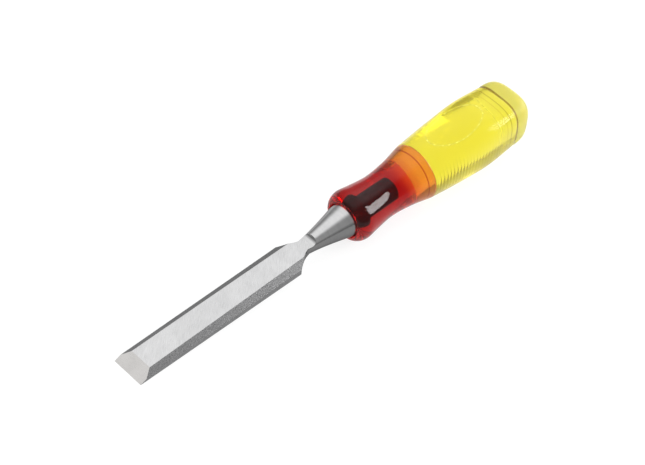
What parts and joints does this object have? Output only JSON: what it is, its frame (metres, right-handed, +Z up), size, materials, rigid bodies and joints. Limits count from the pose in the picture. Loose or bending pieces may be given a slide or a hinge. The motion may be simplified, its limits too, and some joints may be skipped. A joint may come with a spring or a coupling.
{
  "type": "bench chisel",
  "caption": "Bevel-edged bench chisel with a polished steel blade and bolster, a clear red waisted front grip and a clear yellow rounded-square handle body",
  "frame": {"origin": "centre of the box's underside, on the bench: z = 0 touches the cutting edge and the underside of the red grip's flange", "axes": "+X runs from the cutting edge to the butt, +Z is up from the bench with the blade's bevels facing it, +Y is across the blade; the tool lies as it rests, its long axis rising 3.9 degrees towards the butt"},
  "size_m": [0.2642, 0.034, 0.0371],
  "materials": {
    "polished_steel": "fine ground flats with cross-grain, polished bolster",
    "clear_red_plastic": "transparent red, smooth moulded gloss",
    "clear_yellow_plastic": "transparent yellow, moulded gloss with fine grip ribs on the flanks"
  },
  "bodies": {
    "root": {"blade": "polished_steel", "front_grip": "clear_red_plastic", "handle": "clear_yellow_plastic"}
  },
  "joints": []
}
